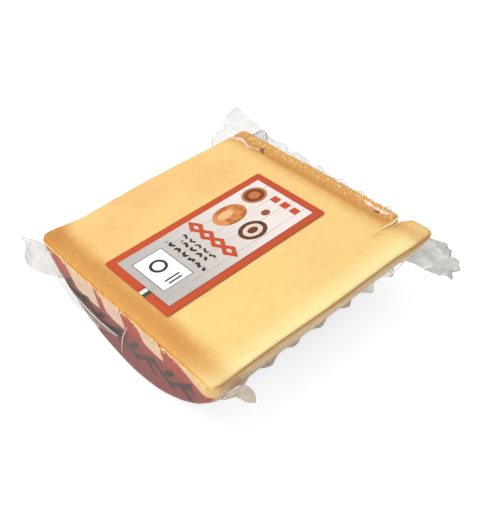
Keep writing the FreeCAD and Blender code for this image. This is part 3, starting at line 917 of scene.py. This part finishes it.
def make_label(material):
    """The label: a thin card with small corner rounds, lying on the film."""
    (left, low), (right, high) = label_low[:2], label_high[:2]
    middle = LABEL_MIDDLE[:2]
    corner = 1.2
    steps = 5
    outline = []
    for turn, spot in enumerate(np.array([(right, high), (left, high), (left, low), (right, low)])):
        centre = spot + np.where(spot > middle, -1, 1) * corner
        for angle in np.linspace(turn * math.pi / 2, (turn + 1) * math.pi / 2, steps):
            outline.append(centre + corner * np.array([math.cos(angle), math.sin(angle)]))
    outline = np.array(outline)
    around = len(outline)
    bevel = 0.05
    inset = middle + (outline - middle) * (1 - 2 * bevel / LABEL_SIZE[:2])
    base = CUT + FILM_OUT + FILM_GAUGE
    loops = [(outline, base), (outline, base + LABEL_SIZE[2] - bevel), (inset, base + LABEL_SIZE[2])]
    points = np.concatenate([np.column_stack([loop, np.full(around, height)]) for loop, height in loops])
    piece = add_piece("label", points, tube_faces(len(loops), around), material, "label")
    piece.data.set_sharp_from_angle(angle=math.radians(30))


# ---------------------------------------------------------------- film

def within(value, low, high, reach):
    """1 between low and high, falling smoothly to 0 at reach beyond them."""
    return smooth(value, low - reach, low) * smooth(-value, -high - reach, -high)


def make_film_skin(material):
    """The film drawn tight over the cheese, almost smooth on top and wrinkled on the heel."""
    points, faces = segment(FILM_OUT, 1.15, (118, 4, 90), 30)
    x, y, z = points.T
    plain = points
    points = settle(plain)
    dip = notch_share(points)
    points[:, 2] -= dip * 6.5
    points[:, 0] -= dip * 2.5 * smooth(-points[:, 2], -CUT, -CUT + 4)

    on_top = smooth(z, CUT - 3.0, CUT)
    under_label = within(x, label_low[0], label_high[0], 3.0) * within(y, label_low[1], label_high[1], 3.0)
    on_end = smooth(np.abs(x), HALF - 3.0, HALF)
    bottom = smooth(-z, -3.0, -1.0)
    depth = np.where(on_end > 0.5, 0.38, 0.75) * (1.0 - on_top) + 0.03 * on_top
    wrinkle = 0.5 + 0.5 * folds(plain, 11.0, 51)
    crinkle = 0.5 + 0.5 * folds(plain, 4.5, 52)
    height = depth * (0.75 * wrinkle + 0.35 * crinkle) * (1.0 - 0.9 * bottom)
    height = height * (1.0 - under_label * on_top)
    points = points + normals_of(points, faces) * height[:, None]
    piece = add_piece("film_skin", points, faces, material, "film")
    thicken(piece, FILM_GAUGE, 1.0)


def pull(points, count):
    """Evenly spread points on a smooth curve through a few points, as Catmull and Rom draw it."""
    points = np.asarray(points, dtype=float)
    padded = np.vstack([2 * points[0] - points[1], points, 2 * points[-1] - points[-2]])
    made = []
    for share in np.linspace(0.0, len(points) - 1.0, count):
        span = min(int(share), len(points) - 2)
        t = share - span
        a, b, c, d = padded[span:span + 4]
        made.append(0.5 * (2 * b + (c - a) * t + (2 * a - 5 * b + 4 * c - d) * t ** 2
                           + (3 * b - a - 3 * c + d) * t ** 3))
    return np.array(made)


def heel_reach(height):
    """Half the pack's width, along Y, at a height."""
    return math.sqrt((WHEEL_RADIUS + REST) ** 2 - (AXIS - height) ** 2)


def corner_row(x_side, y_side, places):
    """Points by how far each lies beyond the flat end, beyond the long edge and below the top."""
    end, side, top = HALF + REST, heel_reach(CUT + REST), CUT + REST
    return [(x_side * (end + past_end), y_side * (side + past_side), top - drop)
            for past_end, past_side, drop in places]


def heel_row(x_side, y_side, drops):
    """Points just inside the flat end and the heel, at drops below the top."""
    return [(x_side * (HALF - 0.8), y_side * (heel_reach(CUT + REST - drop) - 1.5), CUT + REST - drop)
            for drop in drops]


def film_sheet(name, rows, material, crumple, size, seed, tone, jagged=0.0, counts=(80, 80)):
    """A crumpled double film through rows of points, from the pack's side out to the free edge.

    Crumple is the folds' height, size their width, tone how dark they look, and jagged how ragged the
    free edge is. The counts are its points along a row and from the first row to the last.
    """
    rows = np.array([pull(row, counts[0]) for row in rows])
    lines = np.array([pull(rows[:, place], counts[1]) for place in range(rows.shape[1])])
    points = lines.transpose(1, 0, 2)
    out_share = np.linspace(0.0, 1.0, points.shape[0])
    if jagged:
        tip = points[-1] - points[-8]
        ragged = noise(points[-1], 1.6, seed + 9) + 0.6 * noise(points[-1], 4.0, seed + 10)
        points = points + (out_share ** 3)[:, None, None] * tip * (jagged * ragged)[:, None]
    flat = points.reshape(-1, 3)
    faces = grid_faces(points.shape[0], points.shape[1])
    freedom = np.repeat(smooth(out_share, 0.0, 0.35), points.shape[1])
    height = crumple * (folds(flat, size, seed) + 0.25 * folds(flat, size * 0.45, seed + 1)) * freedom
    crumpled = flat + normals_of(flat, faces) * height[:, None]
    piece = add_piece(name, crumpled, faces, material, "film")

    line, facet = fold_highlights_and_shade(flat, size, seed)
    across = np.tile(np.linspace(0.0, 1.0, points.shape[1]), points.shape[0])
    along = np.repeat(out_share, points.shape[1])
    rim = np.maximum(smooth(along, 0.97, 0.995), smooth(np.abs(across - 0.5), 0.485, 0.497) * freedom)
    # line: painted highlights along the crests; shade: the film's tint with painted shade that differs facet
    # by facet
    set_values(piece, "line", line * freedom)
    set_values(piece, "rim", rim)
    set_values(piece, "shade", tone * (0.6 + 0.7 * facet + 0.15 * noise(flat, 5.0, seed + 3)))
    thicken(piece, DOUBLE_GAUGE)


def make_crease_highlights(material):
    """Thin raised wrinkles of the film, coloured as painted highlights, by the split, under the -Y edge and
    on the near end.
    """
    by_split = [  # x, y, half width, height
        [(68.5, -50.3, 0.3, 0.1), (61.8, -50.1, 0.85, 0.12), (57.4, -50.0, 0.7, 0.1),
         (53.4, -50.0, 0.15, 0.04)],
        [(64.5, -52.2, 0.15, 0.05), (62.0, -52.4, 0.3, 0.08), (58.0, -52.2, 0.1, 0.03)],
        [(52.2, -50.6, 0.2, 0.05), (51.0, -50.8, 0.7, 0.08), (50.0, -50.6, 0.2, 0.05)],
        [(49.2, -50.3, 0.2, 0.05), (48.2, -50.6, 0.6, 0.08), (47.0, -50.6, 0.2, 0.05)],
    ]
    under_edge = [  # x, drop below the cut face, distance out from the cheese, half width
        [(65.0, 2.6, 1.3, 0.1), (57.0, 3.0, 1.5, 0.4), (46.0, 3.4, 1.6, 0.45), (23.0, 5.0, 1.3, 0.1)],
        [(49.0, 8.2, 2.0, 0.1), (45.5, 9.2, 2.4, 0.9), (41.5, 9.8, 2.0, 0.1)],
        [(60.0, 7.0, 1.8, 0.1), (54.0, 6.4, 2.0, 0.35), (47.0, 7.2, 1.8, 0.1)],
        [(22.0, 6.4, 1.3, 0.1), (15.0, 3.6, 1.6, 0.35), (8.0, 3.0, 1.6, 0.35), (1.0, 4.6, 1.3, 0.1)],
        [(-8.0, 3.2, 1.2, 0.1), (-13.0, 4.6, 1.5, 0.5), (-18.0, 5.6, 1.2, 0.1)],
        [(-34.0, 4.2, 1.2, 0.1), (-38.5, 3.4, 1.5, 0.5), (-44.0, 4.4, 1.2, 0.1)],
    ]
    on_end = [  # y, z, half width, distance out from the film
        [(-5.7, 38.3, 0.1, 0.0), (0.5, 28.0, 0.3, 0.0), (4.1, 19.5, 0.3, 0.0), (6.6, 11.0, 0.1, 0.0)],
        [(56.0, 26.5, 0.1, 1.2), (46.5, 22.6, 0.35, 1.9), (35.0, 19.2, 0.35, 1.8), (23.0, 17.0, 0.1, 1.2)],
        [(50.0, 28.0, 0.1, 1.0), (36.0, 25.0, 0.3, 1.2), (22.0, 22.8, 0.3, 1.0), (7.0, 23.0, 0.1, 0.4)],
    ]
    steps, across = 50, 7
    shares = np.linspace(-1.0, 1.0, across)
    crown = 1.0 - shares ** 2
    grids = []
    for number, path in enumerate(by_split):
        x, y, half_width, height = pull(path, steps).T[..., None]
        wobble = 0.25 * noise(np.hstack([x, y, np.full((steps, 1), 3.0 * number)]), 4.0, 95)
        base = CUT + FILM_OUT + FILM_GAUGE + 0.02
        grids.append(grid_of(x, y + wobble[:, None] + np.maximum(half_width, 0.03) * shares,
                             base + np.maximum(height, 0.02) * crown))
    for path in under_edge:
        x, drop, out, half_width = pull(path, steps).T[..., None]
        level = CUT - drop + np.maximum(half_width, 0.05) * shares
        reach = np.sqrt(WHEEL_RADIUS ** 2 - (AXIS - level) ** 2) + out + 0.2 * crown
        grids.append(grid_of(x, -reach, level))
    front = -(HALF + FILM_OUT + FILM_GAUGE + 0.3)
    for path in on_end:
        y, z, half_width, out = pull(path, steps).T[..., None]
        grids.append(grid_of(front - out - 0.25 * crown, y + 0.4 * half_width * shares,
                             z + np.maximum(half_width, 0.05) * shares))
    points, faces = gather(grids)
    piece = add_piece("film_crease_highlights", settle(points), faces, material, "film")
    # the painted highlights on the near end are white, the others warm
    set_values(piece, "line", points[:, 0] < -HALF - FILM_OUT)
    thicken(piece, CREASE_GAUGE)


def make_ears(material, tan_material):
    """The four crumpled corners of the bag."""
    film_sheet("film_left_ear", [
        heel_row(-1, 1, (3.5, 9, 15, 21)),
        corner_row(-1, 1, [(1.0, 6, 4.8), (1.8, 6, 11), (0.8, 5, 19), (1.2, 2.5, 26.3)]),
        corner_row(-1, 1, [(1.5, 12, 6.5), (3.4, 12, 14), (1.4, 12, 22), (2.4, 11, 29.3)]),
        corner_row(-1, 1, [(3.0, 17, 8.5), (1.6, 17.5, 15), (3.4, 19.5, 23), (2.6, 20, 30.5)]),
    ], material, crumple=0.9, size=11.0, seed=61, tone=0.5, jagged=0.15)

    film_sheet("film_right_ear", [
        heel_row(1, -1, (3.5, 11, 19, 27)),
        corner_row(1, -1, [(4, 4, 7), (5, 4, 13), (4, 2, 20), (3, -3, 29)]),
        corner_row(1, -1, [(8, 5, 15), (9, 6, 21), (9, 3, 27), (9, 0, 33)]),
        corner_row(1, -1, [(16.5, 6, 26), (17, 7, 30), (17, 5, 34), (15.5, 4, 39)]),
    ], material, crumple=1.5, size=9.0, seed=64, tone=0.85, jagged=0.5)

    outer = np.array(corner_row(1, 1, [
        (-17, 7.5, 2.6), (-9, 11, 2.2), (-1, 12.5, 1.8), (4, 18.5, 1.4), (13.5, 19.5, 1.2),
        (13.7, 15, 1.2), (11.4, 9.5, 1.6), (10.5, -3, 2.4), (8.5, -14, 2.8)]))
    inner = np.array(corner_row(1, 1, [
        (-26, -4, 3), (-18, -4, 3), (-11, -4, 3), (-6, -4, 3), (-4, -4, 3),
        (-3.5, -6, 3), (-3, -10, 3), (-3, -16, 3), (-3, -26, 3)]))
    lifts = (0.0, 0.4, 0.4, 0.0)
    film_sheet("film_top_ear", [inner + (outer - inner) * share + (0.0, 0.0, lift)
                                for share, lift in zip(np.linspace(0.0, 1.0, len(lifts)), lifts)],
               material, crumple=0.9, size=9.0, seed=67, tone=0.2, jagged=0.12)

    upper = [(-3.7, -0.5, 2.6), (-9.8, -0.3, 3.2), (-14.3, -1.3, 6.2), (-17.9, -2.3, 12.3),
             (-21.5, -4.3, 20.3), (-23.9, -6.3, 28.7)]
    lower = [(-1.2, -2.3, 5.4), (-7.4, -2.3, 9.4), (-11.2, -3.0, 13.6), (-13.5, -3.5, 17.2),
             (-16.2, -4.3, 22.6), (-20.4, -5.8, 28.4)]
    bulged = halfway(upper, lower, (0.0, 1.4, 0.0))
    film_sheet("film_front_curl", [corner_row(-1, -1, row) for row in (upper, bulged, lower)],
               tan_material, crumple=0.5, size=6.0, seed=71, tone=0.6, counts=(90, 40))


def make_front_fold(material):
    """A long narrow fold of the film low on the near end, running down from the left ear."""
    front = -(HALF + FILM_OUT + FILM_GAUGE)
    upper = [(front - 0.6, 57.0, 31.0), (front - 0.8, 47.0, 27.5), (front - 0.8, 36.0, 25.5),
             (front - 0.7, 22.0, 23.0), (front - 0.5, 6.0, 23.6)]
    lower = [(front - 0.6, 56.0, 21.0), (front - 0.8, 46.0, 18.4), (front - 0.8, 36.0, 17.6),
             (front - 0.7, 23.0, 16.0), (front - 0.5, 5.0, 22.4)]
    proud = halfway(upper, lower) - np.outer((1.0, 1.0, 0.9, 0.6, 0.1), (1.1, 0.0, 0.0))
    film_sheet("film_front_fold", [upper, proud, lower], material, crumple=0.25, size=6.0,
               seed=83, tone=0.2, counts=(120, 30))


SCALLOP = 16.0  # length of one scallop of the heel's seams
SEAM_DROP = 26.0  # how far below the top the heel's seams run


def make_seams(material, tan_material):
    """The seam along the far edge and the scalloped seams on both sides of the heel."""
    end = HALF + REST
    start = heel_reach(CUT + REST) - 6
    stop = -heel_reach(CUT + REST) + 28
    inner, outer = [], []
    for share, y in zip(np.linspace(0, 1, 24), np.linspace(start, stop, 24)):
        wave = math.sin(share * 41.0) + 0.6 * math.sin(share * 67.0)
        reach = 1.5 + 8.0 * (1 - share) + 0.9 * (0.3 + share) * (1 + wave)
        inner.append((end - 1.5, y, CUT - 4.0))
        outer.append((end + reach, y, CUT - 4.0 + 0.8 * wave))
    film_sheet("film_far_fin", [inner, halfway(inner, outer, (0, 0, 0.3)), outer], material,
               crumple=0.4, size=7.0, seed=74, tone=0.3, counts=(240, 24))

    level = CUT + REST - SEAM_DROP
    root = heel_reach(level) - 1.5
    seams = (("film_near_seam", -1, 77, tan_material), ("film_back_seam", 1, 80, material))
    for name, side, seed, film in seams:
        inner, outer = [], []
        for x in np.linspace(-end + 5, end - 4, 90):
            spot = np.array([x, 30.0 * side, 0.0])
            turn = 2 * math.pi * (x / SCALLOP + 0.35 * noise(spot, 21.0, seed))
            swell = 1.3 + 0.7 * smooth(x, 10.0, 60.0)
            reach = 1.2 + swell * (1 + math.sin(turn)) * (1.0 + 0.7 * noise(spot, 17.0, seed + 1))
            reach += 0.5 * noise(spot, 4.0, seed + 2)
            reach = reach * (0.1 + 0.9 * smooth(x, -end + 5, -end + 18))
            inner.append((x, side * root, level + 0.5 * math.cos(turn)))
            outer.append((x, side * (root + 1.5 + reach), level + 0.9 * math.sin(turn + 2.0)))
        film_sheet(name, [inner, halfway(inner, outer, (0, 0, 0.5)), outer], film,
                   crumple=0.35, size=5.0, seed=seed, tone=0.8, counts=(420, 18))


# ---------------------------------------------------------------- floor, light and camera

def make_floor():
    """A white floor that shows the soft shadow: it glows a little where the camera sees it."""
    size = 1.5
    mesh = bpy.data.meshes.new("floor")
    corners = [(-size, -size, 0), (size, -size, 0), (size, size, 0), (-size, size, 0)]
    mesh.from_pydata(corners, [], [(0, 1, 2, 3)])
    floor = add_object("floor", mesh)
    look = Material("floor")
    plain = look.node("BsdfDiffuse", {"Color": (0.8, 0.8, 0.8, 1.0)})
    seen = look.node("BsdfDiffuse", {"Color": (0.66, 0.59, 0.52, 1.0)})
    glow = look.node("Emission", {"Color": (0.665, 0.71, 0.76, 1.0), "Strength": 1.0})
    both = look.node("AddShader", {0: seen, 1: glow})
    mesh.materials.append(look.finish(look.blend(seen_directly(look.tree), plain, both)))
    floor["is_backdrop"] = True


def seen_directly(tree):
    """1 for rays from the camera, also by way of gloss or glass."""
    path = add_node(tree, "LightPath")
    camera, gloss, glass = (Wire(tree, path.outputs[f"Is {kind} Ray"])
                            for kind in ("Camera", "Glossy", "Transmission"))
    return camera.larger(gloss).larger(glass)


def make_world():
    """Plain white where the camera looks, and soft light from all round that is brighter above."""
    world = bpy.data.worlds.new("world")
    bpy.context.scene.world = world
    world.use_nodes = True
    tree = world.node_tree
    tree.nodes.clear()
    place = add_wire(tree, "TexCoord", output="Generated")
    height = add_wire(tree, "SeparateXYZ", {0: place}, 2).step(-0.1, 1.0)
    fill = add_wire(tree, "Background", {"Color": (0.97, 0.98, 1.0, 1.0), "Strength": height * 0.42 + 0.22})
    white = add_wire(tree, "Background", {"Color": (1.0, 1.0, 1.0, 1.0)})
    camera_ray = add_wire(tree, "LightPath", output="Is Camera Ray")
    mixed = add_wire(tree, "MixShader", {0: camera_ray, 1: fill, 2: white})
    add_node(tree, "OutputWorld", {"Surface": mixed})


def add_lamp(name, place, size, power):
    """A square soft light at a place, turned to the piece, in metres and watts."""
    data = bpy.data.lights.new(name, "AREA")
    data.size = size
    data.energy = power
    lamp = add_object(name, data)
    lamp.location = place
    lamp.rotation_mode = "QUATERNION"
    lamp.rotation_quaternion = (Vector((0, 0, 0.03)) - Vector(place)).to_track_quat("-Z", "Y")


def make_lamps():
    """A large key light, a fill for the near end and three small lights that spark on the film."""
    add_lamp("key", (-0.3, 0.22, 1.12), 0.6, 6.7)
    add_lamp("near_fill", (-1.0, -0.35, 0.4), 0.5, 2.4)
    add_lamp("spark_left", (-0.6, 0.0, 0.8), 0.05, 0.2)
    add_lamp("spark_near", (0.1, -0.4, 0.95), 0.05, 0.2)
    add_lamp("spark_right", (0.75, 0.2, 0.65), 0.05, 0.2)


def make_camera():
    """A camera that looks down on the near end's -Y corner, turned a little about its line of sight."""
    azimuth, elevation, roll = (math.radians(angle) for angle in (38.64, 41.79, 4.97))
    forward = Vector((math.cos(elevation) * math.sin(azimuth), math.cos(elevation) * math.cos(azimuth),
                      -math.sin(elevation)))
    data = bpy.data.cameras.new("camera")
    data.lens = 52.57
    camera = add_object("camera", data)
    camera.location = Vector((-175.58, -224.32, 286.98)) * MM
    camera.rotation_mode = "QUATERNION"
    camera.rotation_quaternion = Quaternion(forward, roll) @ forward.to_track_quat("-Z", "Y")
    bpy.context.scene.camera = camera


def main():
    """Builds the pieces, then the floor, the light and the camera."""
    bpy.context.scene.view_settings.view_transform = "Standard"
    film = make_film_material("film_skin", (0.995, 0.995, 0.99, 1.0), FILM_MILK, FILM_MILK, 0.0, 0.004, 0.05)
    crumpled = make_film_material("film_crumpled", (0.935, 0.935, 0.93, 1.0), (0.62, 0.62, 0.60, 1.0),
                                  FILM_MILK, 0.06, 0.05, 0.06, highlight_milk=0.2)
    tan = make_film_material("film_tan", (0.94, 0.9, 0.85, 1.0), (0.8, 0.71, 0.61, 1.0), FILM_TAN, 0.32,
                             0.05, 0.08, only_near_end=True)
    # painted highlights: milky strips on the film's creases, warm over the cheese and white on the near end
    crease_highlight_film = make_film_material("film_crease_highlights", (0.99, 0.99, 0.98, 1.0), FILM_MILK, FILM_WARM_HIGHLIGHT, 0.75,
                                 0.06, 0.05)
    make_cheese(make_cheese_material())
    make_wrap(make_wrap_material())
    make_label(make_label_material())
    make_scraps(make_scrap_material())
    make_crumbs(make_crumb_material())
    make_film_skin(film)
    make_crease_highlights(crease_highlight_film)
    make_front_fold(crumpled)
    make_ears(crumpled, tan)
    make_seams(crumpled, tan)
    make_floor()
    make_world()
    make_lamps()
    make_camera()


main()
bpy.context.view_layer.update()
boxes = {"cad": cad_box, "visual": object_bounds()}
{name: [list(corner) for corner in box] for name, box in boxes.items()}
